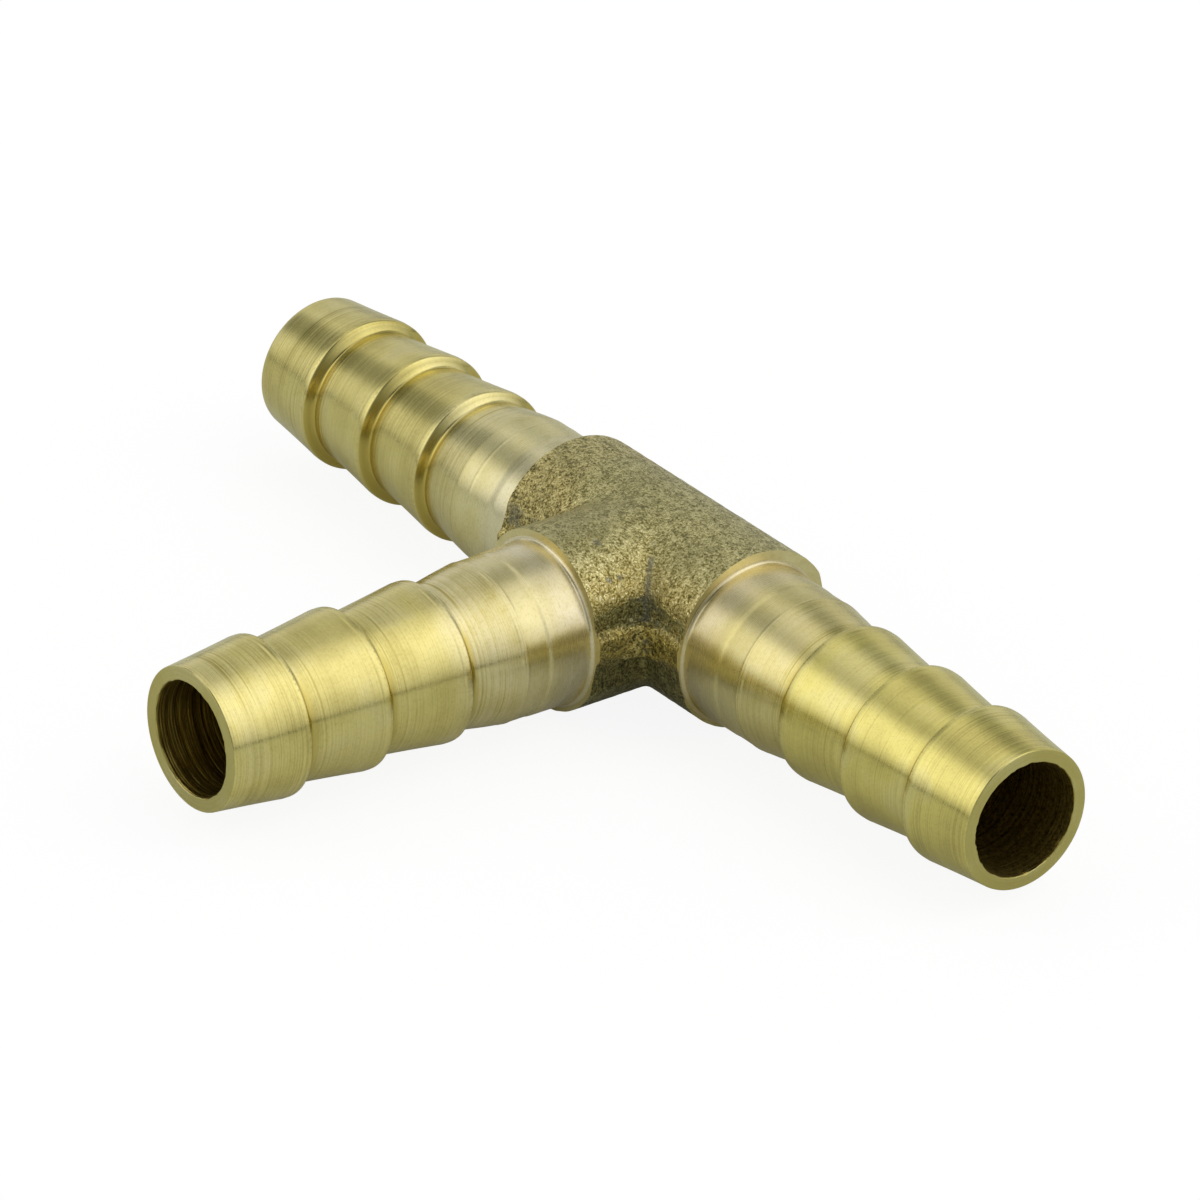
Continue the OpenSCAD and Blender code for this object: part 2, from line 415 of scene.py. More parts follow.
def forged_skin(look):
    """Hot-forged brass, tumbled but not machined.

    The die and the tumbling leave a wormy grit of about 0.12 mm. On the sides it stays rough, so golden
    grains glint between brown hollows, and on top it is rubbed down to an even olive. Just above the front
    walls the grains carry a painted highlight. Blue-grey scale stays in the corners, the steep walls and
    the skin below the band are darkened with painted shade, and the band where the flash was sheared off is
    torn and golden.
    """
    material, tree, shader = new_material("forged_brass_skin", 0.36)
    place = node(tree, "TexCoord").outputs["Object"]
    corner, wall, land, worn, front_glint = (node(tree, "Attribute", attribute_name=key).outputs["Fac"]
                                      for key in SKIN_MARKS)
    # grit of 0.12 mm, lumps of 0.45 mm and patches of 2.9 mm
    grit, lumps, patches = (
        node(tree, "TexNoise", {"Vector": place, "Scale": often * PER_MM, "Detail": detail,
                                "Roughness": broken, "Distortion": twist})
        for often, detail, broken, twist in (
            (8.0, 2.0, 0.6, 0.6), (2.2, 2.0, 0.5, 0.0), (0.35, 3.0, 0.6, 0.0)))
    height = node(tree, "Math", {0: lumps, 1: 0.45, 2: grit}, operation="MULTIPLY_ADD")
    # tones from the hollows to the grains that stand proud, as forged, rubbed, and painted brighter at the
    # front as a highlight
    shade, rubbed, glint_tones = (node(tree, "ValToRGB", {0: height}, stops) for stops in (
        ((0.54, look.skin_low), (0.66, linear("988A54")), (0.76, linear("D2C07A")), (0.88, look.skin_high)),
        ((0.54, linear("79744A")), (0.68, linear("A9A26B")), (0.86, linear("DED69E"))),
        ((0.54, linear("857838")), (0.68, linear("C6B36C")), (0.78, linear("EAD994")),
         (0.90, linear("FFF4C0")))))
    patch = node(tree, "ValToRGB", {0: patches}, ((0.42, grey(0.0)), (0.66, grey(0.36))))
    for much, tone in ((worn, rubbed), (front_glint, glint_tones), (patch, linear("827C52"))):
        shade = node(tree, "Mix", {0: much, 6: shade, 7: tone}, data_type="RGBA").outputs[2]
    # the edge of each zone is broken up by the lumps of the skin
    # the wall zone multiplies painted shade into the walls and below the band
    for mark, tone, most, full, kind in ((wall, linear("BEC5C4"), 0.95, 1.35, "MULTIPLY"),
                                         (land, look.land, 0.80, 1.6, "MULTIPLY"),
                                         (corner, look.scale, 0.64, 1.5, "MIX")):
        broken = node(tree, "Math", {0: lumps, 1: 1.4, 2: mark}, operation="MULTIPLY_ADD")
        cut = node(tree, "MapRange", {"Value": broken, "From Min": 1.0, "From Max": full, "To Max": most})
        shade = node(tree, "Mix", {0: cut, 6: shade, 7: tone}, data_type="RGBA", blend_type=kind).outputs[2]
    tree.links.new(shade, shader.inputs["Base Color"])
    rough = node(tree, "MapRange", {"Value": height, "From Min": 0.5, "From Max": 0.95,
                                    "To Min": 0.50, "To Max": 0.24})
    tree.links.new(rough.outputs[0], shader.inputs["Roughness"])
    # rubbed grains stand lower, and the torn band has coarse lumps of its own
    lower = node(tree, "Math", {0: worn, 1: -0.35, 2: 1.0}, operation="MULTIPLY_ADD")
    grains = node(tree, "Math", {0: height, 1: lower}, operation="MULTIPLY")
    torn = node(tree, "Math", {0: lumps, 1: land}, operation="MULTIPLY")
    relief = node(tree, "Bump", {"Height": grains, "Strength": 1.0, "Distance": 0.11 * MM})
    relief = node(tree, "Bump", {"Height": torn, "Normal": relief, "Strength": 1.0, "Distance": 0.15 * MM})
    tree.links.new(relief.outputs[0], shader.inputs["Normal"])
    return material


def faced_tip(look):
    """Brass tip, faced or sawn off and deburred by hand: a flat, even matte with faint rings."""
    material = turned_brass(look, "faced_brass_tip", 0.42, look.facing, look.facing)
    material.node_tree.nodes["Principled BSDF"].inputs["Anisotropic"].default_value = 0.0
    return material


def drilled_bore(look, name, spiral):
    """Bored or drilled brass with a film of cutting oil. It looks dark, as a bore mirrors mostly itself.

    Spiral is how plainly the marks of the drill's lips show, against the grain of a bored wall.
    """
    material, tree, shader = new_material(name, 0.45 - 0.12 * spiral)
    along = node(tree, "SeparateXYZ", {0: node(tree, "UVMap", uv_map="lathe")}).outputs["X"]
    along = node(tree, "Math", {0: along, 1: RAMP_REACH}, operation="DIVIDE")
    # 0.80 is 24 mm from the crossing and 0.92 is 27.6 mm, about 2 mm inside the mouth
    depth = node(tree, "ValToRGB", {0: along}, ((0.80, linear("E4CE80")), (0.92, look.bore)))
    # marks of the lips 0.16 mm apart, and a grain of about 0.2 mm
    marks = node(tree, "TexNoise", {"Vector": rings(tree, 0.16, 9.0), "Scale": 1.0, "Detail": 3.0,
                                    "Roughness": 0.7})
    grain = node(tree, "TexNoise", {"Vector": node(tree, "TexCoord").outputs["Object"],
                                    "Scale": 4.5 * PER_MM, "Detail": 3.0, "Roughness": 0.7})
    surface = node(tree, "Mix", {0: spiral, 2: grain, 3: marks}, data_type="FLOAT")
    clean = node(tree, "ValToRGB", {0: surface}, ((0.36, linear("8F8150")), (0.62, grey(1.0))))
    shade = node(tree, "Mix", {0: 1.0, 6: depth, 7: clean}, data_type="RGBA", blend_type="MULTIPLY")
    tree.links.new(shade.outputs[2], shader.inputs["Base Color"])
    relief = node(tree, "Bump", {"Height": surface, "Strength": 1.0,
                                 "Distance": (0.03 + 0.03 * spiral) * MM})
    tree.links.new(relief.outputs[0], shader.inputs["Normal"])
    return material


# The three turned tails

# What the tools left on each root: how far out and how high over the plain root, in mm.
RIGHT_ROOT = ((7.9, 0.05), (9.9, 0.04), (10.15, 0.035), (10.5, 0.0), (11.9, 0.0), (12.0, 0.022),
              (12.1, 0.0), (12.2, 0.018), (12.3, 0.0))
LEFT_ROOT = ((7.9, 0.065), (8.8, 0.065), (9.4, 0.0), (10.9, 0.0), (11.0, 0.014), (11.1, 0.0), (12.1, 0.0))
BRANCH_ROOT = ((7.7, 0.06), (9.6, 0.05), (9.85, 0.045), (10.15, 0.0), (11.3, 0.0), (11.4, 0.02),
               (11.5, 0.0), (11.6, 0.015), (11.7, 0.0))
# Steep face of a ridge, from its foot to its crest: shares of the step's length and of its drop.
STEEP_FACE = ((1.0, 0.0), (0.88, 0.02), (0.76, 0.07), (0.66, 0.17), (0.48, 0.52), (0.30, 0.87),
              (0.20, 0.965), (0.08, 0.995), (0.0, 1.0))
# Narrow land that the tool leaves on each crest: how far tipwards and how far below the crest, in mm.
CREST_LAND = ((0.05, 0.0), (0.20, 0.0), (0.32, 0.006), (0.36, 0.020), (0.42, 0.022))
# Broken edge of a tip or of a mouth: how far back from the face and how far off the wall, in mm.
BROKEN_EDGE = ((0.03, 0.015), (0.0, 0.05))
# Other small sizes of the outline, in mm: the start inside the shoulder, the gap before a steep face, the
# spacing of points on a root, the crown of the cone, the hollow of a ramp and the depth of the mouth.
BURIED, STEP_GAP, ROOT_SPACING, CROWNED, HOLLOWED, MOUTH_DEPTH = 0.02, 0.06, 0.065, 0.04, 0.012, 0.10
RAMP_POINTS = 12
# Burrs on the edge of a mouth: how high they are in mm, and how close together.
BURRS = ((0.035, 6.0), (0.05, 27.0))
# How plainly the feed shows: on a root, by the tip and on a ridge, and how soon it fades on one, in mm.
ROOT_FEED, TIP_FEED, RIDGE_FEED, FEED_FADE = 0.12, 0.75, 0.35, 1.3
# Painted shade on a steep face, browner towards its foot: the mm it takes to begin before the foot, over
# which it is full, and to end. Where the face looks up, as a lit side, the painted shade thins: the share
# that is left, and the slopes between which it goes.
STEP_SHADE_BEGIN, STEP_SHADE_FULL, STEP_SHADE_END = 0.3, 0.34, 0.08
STEP_SHADE_LEFT, LIT_SLOPE, LIT_SPAN = 0.08, 0.86, 0.24


def root_height(marks, along):
    """Height over the plain root, eased from one mark to the next."""
    for (a, low), (b, high) in zip(marks, marks[1:]):
        if a <= along <= b:
            f = (along - a) / (b - a)
            return low + (high - low) * f * f * (3 - 2 * f)
    return marks[0][1] if along < marks[0][0] else 0.0


def crest_places(tail, reach):
    """How far out the three crests lie, in mm, from the root to the tip."""
    first, pitch = enlarged(tail, "first_crest", "pitch")
    return [reach - first - pitch * i for i in (2, 1, 0)]


def tail_line(tail, reach, shoulder, bore, marks):
    """The turned outline as (along, radius) in mm: shoulder, root, cone, ridges, tip, mouth and bore."""
    crest, tip, root, fillet, step, cone = enlarged(
        tail, "crest_radius", "tip_radius", "root_radius", "fillet", "step", "cone")
    grooves = enlarged(tail, "last_groove_radius", "groove_radius", "groove_radius")
    crests = crest_places(tail, reach)
    cone_start = crests[0] - step - cone
    foot = root + root_height(marks, shoulder + fillet)
    line = [(shoulder - BURIED, foot + fillet)]
    for degrees in range(0, 91, 15):
        a = math.radians(degrees)
        line.append((shoulder + fillet * (1 - math.cos(a)), foot + fillet * (1 - math.sin(a))))
    # plain root, then the cone down to the last groove, with the marks of the tools on both
    end = crests[0] - step - STEP_GAP
    steps = int((end - shoulder - fillet) / ROOT_SPACING)
    for i in range(1, steps + 1):
        along = shoulder + fillet + (end - shoulder - fillet) * i / steps
        f = max(0.0, (along - cone_start) / (end - cone_start))
        crown = CROWNED * math.sin(math.pi * f) * (1 - f)
        line.append((along, root + (grooves[0] - root) * f + crown + root_height(marks, along)))
    for i, at in enumerate(crests):
        # steep drop behind the crest, with the tool's nose radius at its foot, and the narrow crest
        low, drop = grooves[i], crest - grooves[i]
        line += [(at - step * back, low + drop * rise) for back, rise in STEEP_FACE]
        line += [(at + ahead, crest - below) for ahead, below in CREST_LAND]
        # the ramp ends a hair above the next groove, or just short of the tip
        land, sunk = CREST_LAND[-1]
        if i < 2:
            end, bottom = crests[i + 1] - step - STEP_GAP, grooves[i + 1] + 0.004
        else:
            end, bottom = reach - 0.08, tip
        for j in range(1, RAMP_POINTS + 1):
            f = j / RAMP_POINTS
            hollow = -HOLLOWED * math.sin(math.pi * f)
            line.append((at + land + (end - at - land) * f,
                         crest - sunk + (bottom - crest + sunk) * f + hollow))
    # sharp outer edge, flat face and the raw edge of the bore
    line += [(reach - back, tip - off) for back, off in BROKEN_EDGE]
    line.append((reach, (tip + bore) / 2))
    line += [(reach - back, bore + off) for back, off in reversed(BROKEN_EDGE)]
    line.append((reach - MOUTH_DEPTH, bore))
    inner = shoulder - BURIED
    for f in (0.98, 0.75, 0.5, 0.25, 0.0):
        line.append((inner + (reach - MOUTH_DEPTH - inner) * f, bore))
    return line


def roughen_mouth(obj, axis, reach, bore):
    """Leaves the saw's and the drill's burrs on the edge between tip face and bore."""
    across = [i for i in range(3) if i != axis]
    for vertex in obj.data.vertices:
        place = vertex.co
        out = math.hypot(place[across[0]], place[across[1]])
        if abs(place[axis]) > reach - 0.05 and out < bore + 0.08:
            turn = math.atan2(place[across[0]], place[across[1]])
            spot = Vector((math.cos(turn), math.sin(turn), 0.3 * axis))
            push = sum(tall * turbulence.noise(spot * often) for tall, often in BURRS)
            for i in across:
                place[i] *= 1 + push / out


def mark_feed(obj, axis, tail, reach):
    """Marks how plainly the feed shows, where the sharp crests are and where shade is painted at each foot.
    """
    crests = crest_places(tail, reach)
    step, cone = enlarged(tail, "step", "cone")
    feet = [at - step for at in crests]
    cone_start = feet[0] - cone
    feed, edge, groove = add_marks(obj.data, ("feed", "crest", "groove"))
    for i, vertex in enumerate(obj.data.vertices):
        along = abs(vertex.co[axis])
        foot = next((at for at in feet if at > along), None)
        if along < cone_start:
            feed[i].value = ROOT_FEED
        elif foot is None:
            feed[i].value = TIP_FEED
        else:
            feed[i].value = RIDGE_FEED + (1.0 - RIDGE_FEED) * math.exp((along - foot) / FEED_FADE)
        edge[i].value = 1.0 if min(abs(along - at) for at in crests) < 0.03 else 0.0
        # painted shade at the foot of each step, thinned where the face looks up towards the light
        near = max(min(1.0, 1.0 - (at - along) / STEP_SHADE_BEGIN, 1.0 - (along - at - STEP_SHADE_FULL) / STEP_SHADE_END)
                   for at in feet)
        rise = vertex.co.z / max(math.hypot(vertex.co.z, vertex.co[1 - axis]), 0.1)
        groove[i].value = max(0.0, near) * clamp((LIT_SLOPE - rise) / LIT_SPAN, STEP_SHADE_LEFT)


class MESH_OT_turned_tails(bpy.types.Operator):
    """Turns the three barbed tails with their bores from drawn outlines"""
    bl_idname = "mesh.turned_tails"
    bl_label = "Turned Tails"

    def execute(self, context):
        tail, forging, look = context.scene.tee_tails, context.scene.tee_forging, context.scene.tee_look
        tip = faced_tip(look)
        # the run is bored through from both ends and the branch is drilled
        bores = (drilled_bore(look, "bored_brass", 0.5), drilled_bore(look, "drilled_brass", 1.0))
        for side, arm, axis, marks, turn in (("right", "run", 0, RIGHT_ROOT, 0.0),
                                             ("left", "run", 0, LEFT_ROOT, math.pi),
                                             ("branch", "branch", 1, BRANCH_ROOT, -math.pi / 2)):
            reach, bore = enlarged(tail, arm + "_reach", arm + "_bore")
            shoulder, = enlarged(forging, arm + "_shoulder")
            skin = turned_brass(look, "turned_brass_" + side, 0.20, getattr(look, side + "_root"),
                                getattr(look, side + "_ridge"))
            line = tail_line(tail, reach, shoulder, bore, marks)
            obj = draw_loop("tail_" + side, [(s, r, 0.0) for s, r in line])
            bpy.ops.mesh.spin(steps=tail.sides, angle=TURN, center=(0, 0, 0), axis=(1, 0, 0),
                              use_auto_merge=True)
            bpy.ops.mesh.select_all(action="SELECT")
            bpy.ops.mesh.remove_doubles(threshold=SAME_POINT)
            bpy.ops.mesh.normals_make_consistent(inside=False)
            bpy.ops.object.mode_set(mode="OBJECT")
            obj.data.transform(Matrix.Rotation(turn, 4, "Z"))
            roughen_mouth(obj, axis, reach, bore)
            unwrap_lathe(obj, axis)
            mark_feed(obj, axis, tail, reach)
            for material in (skin, tip, bores[axis]):
                obj.data.materials.append(material)
            across = [i for i in range(3) if i != axis]
            for face in obj.data.polygons:
                middle = face.center
                out = math.hypot(middle[across[0]], middle[across[1]])
                if abs(middle[axis]) > reach - 0.02:
                    face.material_index = 1
                elif out < bore + 0.1 and abs(middle[axis]) > shoulder:
                    face.material_index = 2
            only(obj)
            bpy.ops.object.shade_smooth_by_angle(angle=math.radians(38))
            to_metres(obj)
            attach(obj, "root")
            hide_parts("body")
        return {"FINISHED"}


# The forged middle

# What is marked on the forged skin, point by point.
SKIN_MARKS = ("corner", "wall", "land", "worn", "front_glint")
# Smudges of blue-grey scale: where they lie and how wide they are, in mm.
SCALE_SPOTS = (((-6.9, -4.1, 2.1), 0.75), ((3.5, -5.2, 3.45), 0.24), ((3.45, -5.85, 3.45), 0.22),
               ((1.65, -5.3, 4.6), 0.24), ((5.35, -4.85, 0.45), 0.30), ((5.35, -4.85, -0.05), 0.28))
# Smoothing of the valley between the barrels: its width in mm and its share, and what each mm above the
# height adds to them.
VALLEY_HEIGHT, VALLEY_WIDTH, VALLEY_WIDENS, VALLEY_SHARE, VALLEY_FILLS = 1.5, 0.7, 0.65, 0.5, 0.35
# How far blocks stand past the shoulders, and how far the corner of the band reaches inside them, in mm.
SPARE, INSIDE = 1.2, 0.6


def barrel_section(radius, edge, draft, land_out, land_low, land_high):
    """Section of a forged barrel as a closed loop of (out, up), in mm about its middle."""
    def crown(z):
        return math.sqrt(max(radius * radius - z * z, 0.0))

    def wall(z):
        return crown(edge) + (edge - abs(z)) * math.tan(draft)

    # the chamfer of the band, outside and inside its edge
    outer, inner = 0.15, 0.08
    points = []
    for i in range(17):
        z = -radius * math.cos(math.radians(i * 90 / 16.0))
        if z < -edge:
            points.append((crown(z), z))
    points += [(crown(edge), -edge), (wall(land_low - outer), land_low - outer),
               (land_out, land_low + inner), (land_out, land_high - inner),
               (wall(land_high + outer), land_high + outer), (crown(edge), edge)]
    for i in range(17):
        z = radius * math.sin(math.radians(i * 90 / 16.0))
        if z > edge:
            points.append((crown(z), z))
    return points + [(-a, b) for a, b in reversed(points) if a > 1e-3]


class MESH_OT_forged_middle(bpy.types.Operator):
    """Builds the forged middle of the tee with its flash land, shoulders and crossing bores"""
    bl_idname = "mesh.forged_middle"
    bl_label = "Forged Middle"

    def execute(self, context):
        tail, forging, look = context.scene.tee_tails, context.scene.tee_forging, context.scene.tee_look
        middle = join(self.blocks(forging), "forged_middle")
        apply_modifier(middle, "REMESH", mode="VOXEL", voxel_size=forging.voxel * ENLARGED)
        self.soften(middle, forging)
        ends = enlarged(forging, "run_shoulder", "branch_shoulder")
        bores = enlarged(tail, "run_bore", "branch_bore")
        self.cut(middle, *ends, *bores)
        self.dress(middle, look, *ends, *bores)
        self.mark(middle.data, forging)
        only(middle)
        bpy.ops.object.shade_smooth_by_angle(angle=math.radians(45))
        to_metres(middle)
        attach(middle, "root")
        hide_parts("body")
        return {"FINISHED"}

    def blocks(self, forging):
        """The barrels and the corners of the flash land as overlapping blocks."""
        back, up, out, edge, run_radius, branch_radius, run_end, branch_end = enlarged(
            forging, "back", "up", "land_out", "wall_edge", "run_radius", "branch_radius", "run_shoulder",
            "branch_shoulder")
        corner, tall, land_up, land_height = enlarged(
            forging, "land_corner", "corner_height", "land_up", "land_height")
        low = land_up - land_height / 2
        high = low + land_height
        # the branch's band is a hair wider, and its barrel starts a little inside the run's
        wider, within = 0.02, 0.3
        run_loop = barrel_section(run_radius, edge, forging.draft, out, low, high)
        branch_loop = barrel_section(branch_radius, edge, forging.draft, out + wider, low, high)
        blocks = [prism("run_barrel", [(-run_end - SPARE, back + a, up + b) for a, b in run_loop],
                        (2 * (run_end + SPARE), 0, 0)),
                  prism("branch_barrel", [(a, back - within, up + b) for a, b in branch_loop],
                        (0, -(branch_end + SPARE + back - within), 0))]
        # concave corners of the flash land, drawn in plan and raised to the height of the land
        for side in (-1, 1):
            x, y = side * (out + wider), back - out
            arc = [(x + side * corner * (1 - math.sin(math.radians(t))),
                    y - corner * (1 - math.cos(math.radians(t)))) for t in range(0, 91, 10)]
            plan = [(x - side * INSIDE, y + INSIDE), (x + side * corner, y + INSIDE), *arc,
                    (x - side * INSIDE, y - corner)]
            blocks.append(prism("land_corner", [(a, b, up + (low + high - tall) / 2) for a, b in plan],
                                (0, 0, tall)))
        return blocks

    def soften(self, middle, forging):
        """Softens every edge a little and the valley between the barrels much more, and adds the grit."""
        crown, up, back, grain, grain_height = enlarged(
            forging, "run_radius", "up", "back", "grain", "grain_height")
        group = middle.vertex_groups.new(name="valley")
        for vertex in middle.data.vertices:
            x, y, z = vertex.co
            half = math.sqrt(max(crown * crown - (z - up) ** 2, 0.0))
            half = min(half, crown * 0.995)
            if y < back:
                away = max(abs(abs(x) - half), abs(y - back + half))
                rise = max(0.0, z - VALLEY_HEIGHT)
                weight = max(0.0, 1.0 - away / (VALLEY_WIDTH + VALLEY_WIDENS * rise))
                if weight > 0:
                    full = min(1.0, VALLEY_SHARE + VALLEY_FILLS * rise)
                    group.add([vertex.index], min(full, weight * 1.5), "REPLACE")
        apply_modifier(middle, "SMOOTH", factor=0.5, iterations=70, vertex_group="valley")
        apply_modifier(middle, "SMOOTH", factor=0.5, iterations=12)
        # grit that the die and the tumbling leave, and a swell four times as wide
        for label, size, tall in (("grain", grain, grain_height), ("swell", grain * 4, grain_height * 0.8)):
            pattern = bpy.data.textures.new(label, "CLOUDS")
            pattern.noise_scale = size
            pattern.noise_depth = 2
            apply_modifier(middle, "DISPLACE", texture=pattern, texture_coords="LOCAL", strength=tall,
                           mid_level=0.62)

    def cut(self, middle, run_end, branch_end, run_bore, branch_bore):
        """Cuts the three shoulders flat and drills the bores."""
        only(middle)
        for normal, point in (((1, 0, 0), (run_end, 0, 0)), ((-1, 0, 0), (-run_end, 0, 0)),
                              ((0, -1, 0), (0, -branch_end, 0))):
            edit_all()
            bpy.ops.mesh.bisect(plane_co=point, plane_no=normal, use_fill=True, clear_outer=True,
                                threshold=1e-5)
            bpy.ops.object.mode_set(mode="OBJECT")
        # each drill stands 2 mm out of its shoulder
        for name, radius, depth, place, turn in (
                ("run_drill", run_bore, 2 * run_end + 4, (0, 0, 0), (0, math.pi / 2, 0)),
                ("branch_drill", branch_bore, branch_end + 2, (0, -(branch_end + 2) / 2, 0),
                 (math.pi / 2, 0, 0))):
            deselect()
            bpy.ops.mesh.primitive_cylinder_add(vertices=96, radius=radius, depth=depth, location=place,
                                                rotation=turn)
            drill = bpy.context.object
            drill.name = name
            apply_modifier(middle, "BOOLEAN", operation="DIFFERENCE", object=drill, solver="EXACT")
            bpy.data.objects.remove(drill)

    def dress(self, middle, look, run_end, branch_end, run_bore, branch_bore):
        """Parts the skin, the machined shoulders and the bores."""
        mesh = middle.data
        mesh.materials.clear()
        for material in (forged_skin(look),
                         turned_brass(look, "turned_brass_shoulder", 0.24, look.shoulder, look.shoulder),
                         drilled_bore(look, "bored_brass_middle", 0.25)):
            mesh.materials.append(material)
        for face in mesh.polygons:
            c, n = face.center, face.normal
            if abs(c.x) > run_end - 0.01 and abs(n.x) > 0.95 or c.y < -branch_end + 0.01 and n.y < -0.95:
                face.material_index = 1
            elif (math.hypot(c.y, c.z) < run_bore + 0.02
                  or math.hypot(c.x, c.z) < branch_bore + 0.02 and c.y < 0):
                face.material_index = 2
            else:
                face.material_index = 0
        unwrap_lathe(middle, 0)

    def mark(self, mesh, forging):
        """Marks scale, painted shade and highlight, the torn band and rubbed grains. Sizes in mm."""
        scale, wall, land, worn, front_glint = add_marks(mesh, SKIN_MARKS)
        crown, up, back, edge, out, middle, land_height = enlarged(
            forging, "run_radius", "up", "back", "wall_edge", "land_out", "land_up", "land_height")
        half_tall = land_height / 2
        for i, vertex in enumerate(mesh.vertices):
            x, y, z = vertex.co
            height = z - up
            on_run, on_right = x + y > back, x > 0
            half = math.sqrt(max(crown * crown - height * height, 0.0))
            # scale in the crease where branch and run meet, less in the open valley on the left
            away = math.hypot(abs(x) - half, y - back + half)
            crease = bell(away, 0.28) * clamp((4.7 - height) / 1.2) * (height > 1.0)
            crease *= 1.0 if on_right else 0.5
            corner = math.hypot(abs(x) - out, y - back + out)
            near = bell(corner, 1.5)
            spots = (0.9 * bell((vertex.co - Vector(spot)).length, size) for spot, size in SCALE_SPOTS)
            scale[i].value = max(crease, 0.5 * near * (1.2 < height < edge), *spots)
            # walls: painted shade, darkest near the corner, paler and lower towards the shoulders, behind
            # and on the run, and weaker on the left; the skin below the band is painted dark as well
            top = edge - 0.15 - 0.10 * min(corner, 3.0)
            inside = clamp(0.5 + (top - height) / 0.5)
            inside *= clamp((height - middle - half_tall - 0.2) / 0.2)
            below = clamp((middle - half_tall - height) / 0.6)
            fade = (0.45 + 0.55 * bell(corner, 3.2)) * (0.6 if on_run else 1.0)
            wall[i].value = max(inside * (fade if on_right else 0.35), below)
            tall = half_tall + 0.2 + 0.35 * near
            band = clamp((tall - abs(height - middle)) / 0.3) * (1.0 if on_run else 0.6)
            land[i].value = band * (abs(x) > out - 0.9 or abs(y - back) > out - 0.9)
            # the crown is rubbed smooth, and less of it at the left front
            low = 2.6 + 1.4 * clamp((-x - 2.0) / 3.0)
            worn[i].value = clamp((height - low) / 1.5, high=0.8)
            # a painted highlight: the grains are brightest just above the front walls, on the branch more
            # than on the run
            proud = bell(height - 2.9, 1.1) * (on_right and y < back)
            front_glint[i].value = proud * (1.0 if x + y < back else 0.5)


# Stage

def direction(azimuth, elevation):
    """A direction from the part: azimuth from the branch side towards the right tail, in radians."""
    return Vector((math.sin(azimuth) * math.cos(elevation), -math.cos(azimuth) * math.cos(elevation),
                   math.sin(elevation)))


# What makes the cloth of the light tent uneven: azimuth and elevation of a patch, the radius within which
# it is full and the radius where it ends, all in degrees, and how much brighter or darker it is.
TENT_PATCHES = (
    (65, 27, 12, 54, -0.47),    # opening for the camera
    (127, 48, 11, 55, 0.71),    # lamp behind the cloth on the right
    (330, 31, 10, 31, 0.65),    # lamp behind the cloth at the left front
    (236, 34, 5, 20, -0.12),    # cloth behind, a little in the shade
    (278, 35, 7, 21, -0.48),    # seams and folds between the lamps
    (22, 65, 9, 28, -0.68),
    (215, 47, 4, 23, -0.34),
    (176, 38, 5, 21, -0.56),
    (265, 62, 4, 23, 0.19),
)


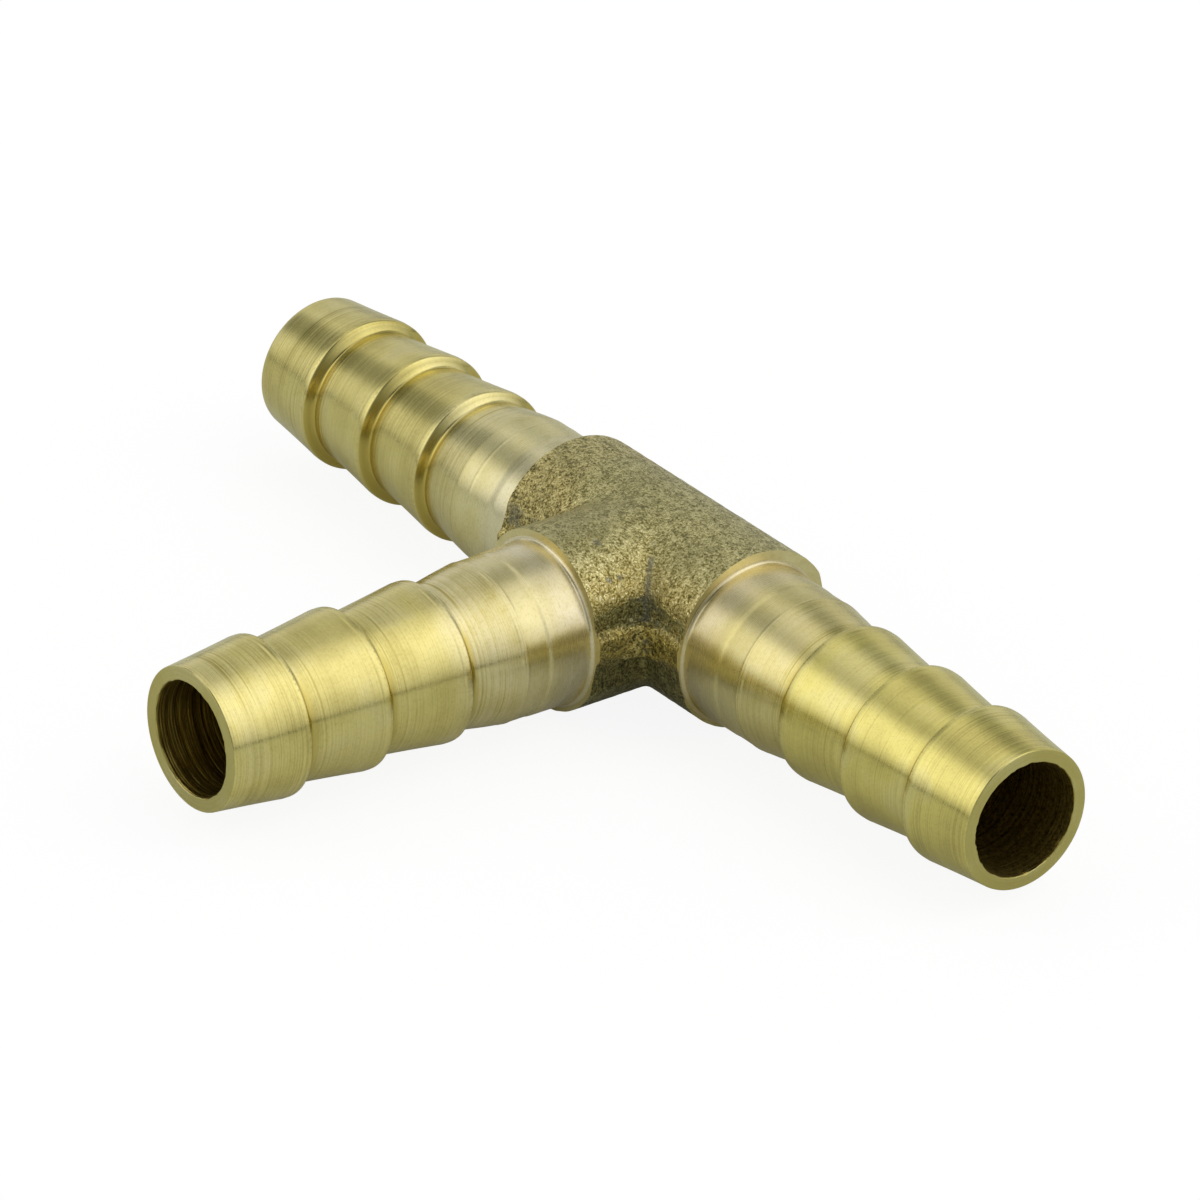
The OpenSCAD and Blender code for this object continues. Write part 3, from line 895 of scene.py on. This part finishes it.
class SCENE_OT_photo_table(bpy.types.Operator):
    """Sets the pale board, the light tent and the camera"""
    bl_idname = "scene.photo_table"
    bl_label = "Photo Table"

    def execute(self, context):
        settings = context.scene.tee_stage
        self.floor(settings)
        self.room(settings)
        self.camera(context, settings)
        return {"FINISHED"}

    def floor(self, settings):
        deselect()
        bpy.ops.mesh.primitive_plane_add(size=1.0)
        floor = start("pale_floor")
        bpy.ops.transform.resize(value=(6.0, 6.0, 1.0), center_override=(0, 0, 0))
        bpy.ops.transform.translate(value=(0, 0, CAD_BOX[0][2] - 0.05 * MM))
        bpy.ops.mesh.subdivide(number_cuts=3)
        bpy.ops.object.mode_set(mode="OBJECT")
        # The camera sees this board as clean white, with a tenth of its shading left in it. The metal
        # mirrors a share of that white, and otherwise the board as it is lit and shaded round the tee.
        material, tree, shader = new_material("matt_white_board", 1.0, metallic=0.0)
        shader.inputs["Base Color"].default_value = (*settings.board, 1.0)
        shader.inputs["Specular IOR Level"].default_value = 0.0
        path = node(tree, "LightPath").outputs
        glow = node(tree, "Emission", {"Color": grey(1.0), "Strength": 0.9})
        shaded = node(tree, "BsdfDiffuse", {"Color": grey(0.14)})
        white = node(tree, "AddShader", {0: glow, 1: shaded})
        thrown = node(tree, "Math", {0: path["Is Glossy Ray"], 1: path["Is Transmission Ray"]},
                      operation="MAXIMUM")
        thrown = node(tree, "Math", {0: thrown, 1: settings.mirrored}, operation="MULTIPLY")
        clean = node(tree, "Math", {0: path["Is Camera Ray"], 1: thrown}, operation="MAXIMUM")
        seen = node(tree, "MixShader", {0: clean, 1: shader, 2: white})
        tree.links.new(seen.outputs[0], tree.nodes["Material Output"].inputs["Surface"])
        floor.data.materials.append(material)

    def room(self, settings):
        """A light tent: white cloth, dimmer at its foot and uneven where lamps, seams and opening are."""
        world = bpy.data.worlds.new("light_tent")
        bpy.context.scene.world = world
        world.use_nodes = True
        tree = world.node_tree
        tree.nodes.clear()
        way = node(tree, "TexCoord").outputs["Generated"]
        up = node(tree, "SeparateXYZ", {0: way}).outputs["Z"]
        foot = node(tree, "MapRange", {"Value": up, "From Max": 0.2, "To Max": settings.tent_level,
                                       "To Min": settings.tent_level * settings.horizon})
        # where the cloth meets the board a dark line runs all round
        seam = node(tree, "MapRange", {"Value": up, "From Min": 0.02, "From Max": 0.06, "To Min": 0.35})
        level = node(tree, "Math", {0: foot, 1: seam}, operation="MULTIPLY")
        for azimuth, elevation, inner, outer, strength in TENT_PATCHES:
            middle = direction(math.radians(azimuth), math.radians(elevation))
            facing = node(tree, "VectorMath", {0: way, 1: middle}, operation="DOT_PRODUCT")
            away = node(tree, "Math", {0: facing.outputs["Value"]}, operation="ARCCOSINE")
            patch = node(tree, "MapRange", {"Value": away, "From Min": math.radians(outer),
                                            "From Max": math.radians(inner), "To Max": strength},
                         interpolation_type="SMOOTHSTEP")
            level = node(tree, "Math", {0: level, 1: patch}, operation="ADD")
        cloth = node(tree, "Math", {0: level, 1: 0.02}, operation="MAXIMUM")
        # cloth that gets little light of its own is a shade greener than the lamps
        cast = node(tree, "ValToRGB", {0: cloth}, ((0.25, (0.95, 1.0, 0.93)), (0.75, grey(1.0))))
        tent = node(tree, "Background", {"Color": cast, "Strength": cloth})
        white = node(tree, "Background", {"Color": grey(1.0), "Strength": 1.0})
        seen = node(tree, "MixShader",
                    {0: node(tree, "LightPath").outputs["Is Camera Ray"], 1: tent, 2: white})
        node(tree, "OutputWorld", {"Surface": seen}, is_active_output=True)

    def camera(self, context, settings):
        r = settings.roll
        back = direction(settings.azimuth, settings.elevation)
        right = Vector((math.cos(settings.azimuth), math.sin(settings.azimuth), 0.0))
        up = back.cross(right)
        right, up = (math.cos(r) * right + math.sin(r) * up, -math.sin(r) * right + math.cos(r) * up)
        # the frame is as wide as the sensor, so a share of the width becomes a slope by sensor over lens
        sensor, far = 36.0, settings.distance
        slope = sensor / settings.lens
        place = (back * far - right * settings.shift_right * slope * far
                 + up * settings.shift_down * slope * far)
        data = bpy.data.cameras.new("photo_camera")
        data.sensor_fit, data.sensor_width, data.lens = "HORIZONTAL", sensor, settings.lens
        data.clip_start, data.clip_end = 0.01, 20.0
        camera = bpy.data.objects.new("photo_camera", data)
        context.scene.collection.objects.link(camera)
        turn = Matrix((right, up, back)).transposed().to_4x4()
        camera.matrix_world = Matrix.Translation(place) @ turn
        context.scene.camera = camera
        context.scene.view_settings.view_transform = "Standard"


# Panel and start

class VIEW3D_PT_barb_tee(bpy.types.Panel):
    """Lists the steps that make the tee"""
    bl_idname = "VIEW3D_PT_barb_tee"
    bl_label = "Brass Hose Barb Tee"
    bl_space_type = "VIEW_3D"
    bl_region_type = "UI"
    bl_category = "Barb Tee"

    def draw(self, context):
        for name, group, step in GROUPS:
            box = self.layout.box()
            if step:
                box.operator(step)
            for key in group.__annotations__:
                box.prop(getattr(context.scene, name), key)


CLASSES = (TailSizes, ForgingSizes, BrassLook, StageSettings, MESH_OT_turned_tails, MESH_OT_forged_middle,
           SCENE_OT_photo_table, VIEW3D_PT_barb_tee)
GROUPS = (("tee_stage", StageSettings, "scene.photo_table"), ("tee_tails", TailSizes, "mesh.turned_tails"),
          ("tee_forging", ForgingSizes, "mesh.forged_middle"), ("tee_look", BrassLook, None))


def register():
    for item in CLASSES:
        bpy.utils.register_class(item)
    for name, group, _ in GROUPS:
        setattr(bpy.types.Scene, name, bpy.props.PointerProperty(type=group))


def unregister():
    for name, _, _ in GROUPS:
        delattr(bpy.types.Scene, name)
    for item in reversed(CLASSES):
        bpy.utils.unregister_class(item)


def main():
    register()
    bpy.ops.scene.photo_table()
    bpy.ops.mesh.turned_tails()
    bpy.ops.mesh.forged_middle()
    deselect()


if __name__ == "__main__":
    main()
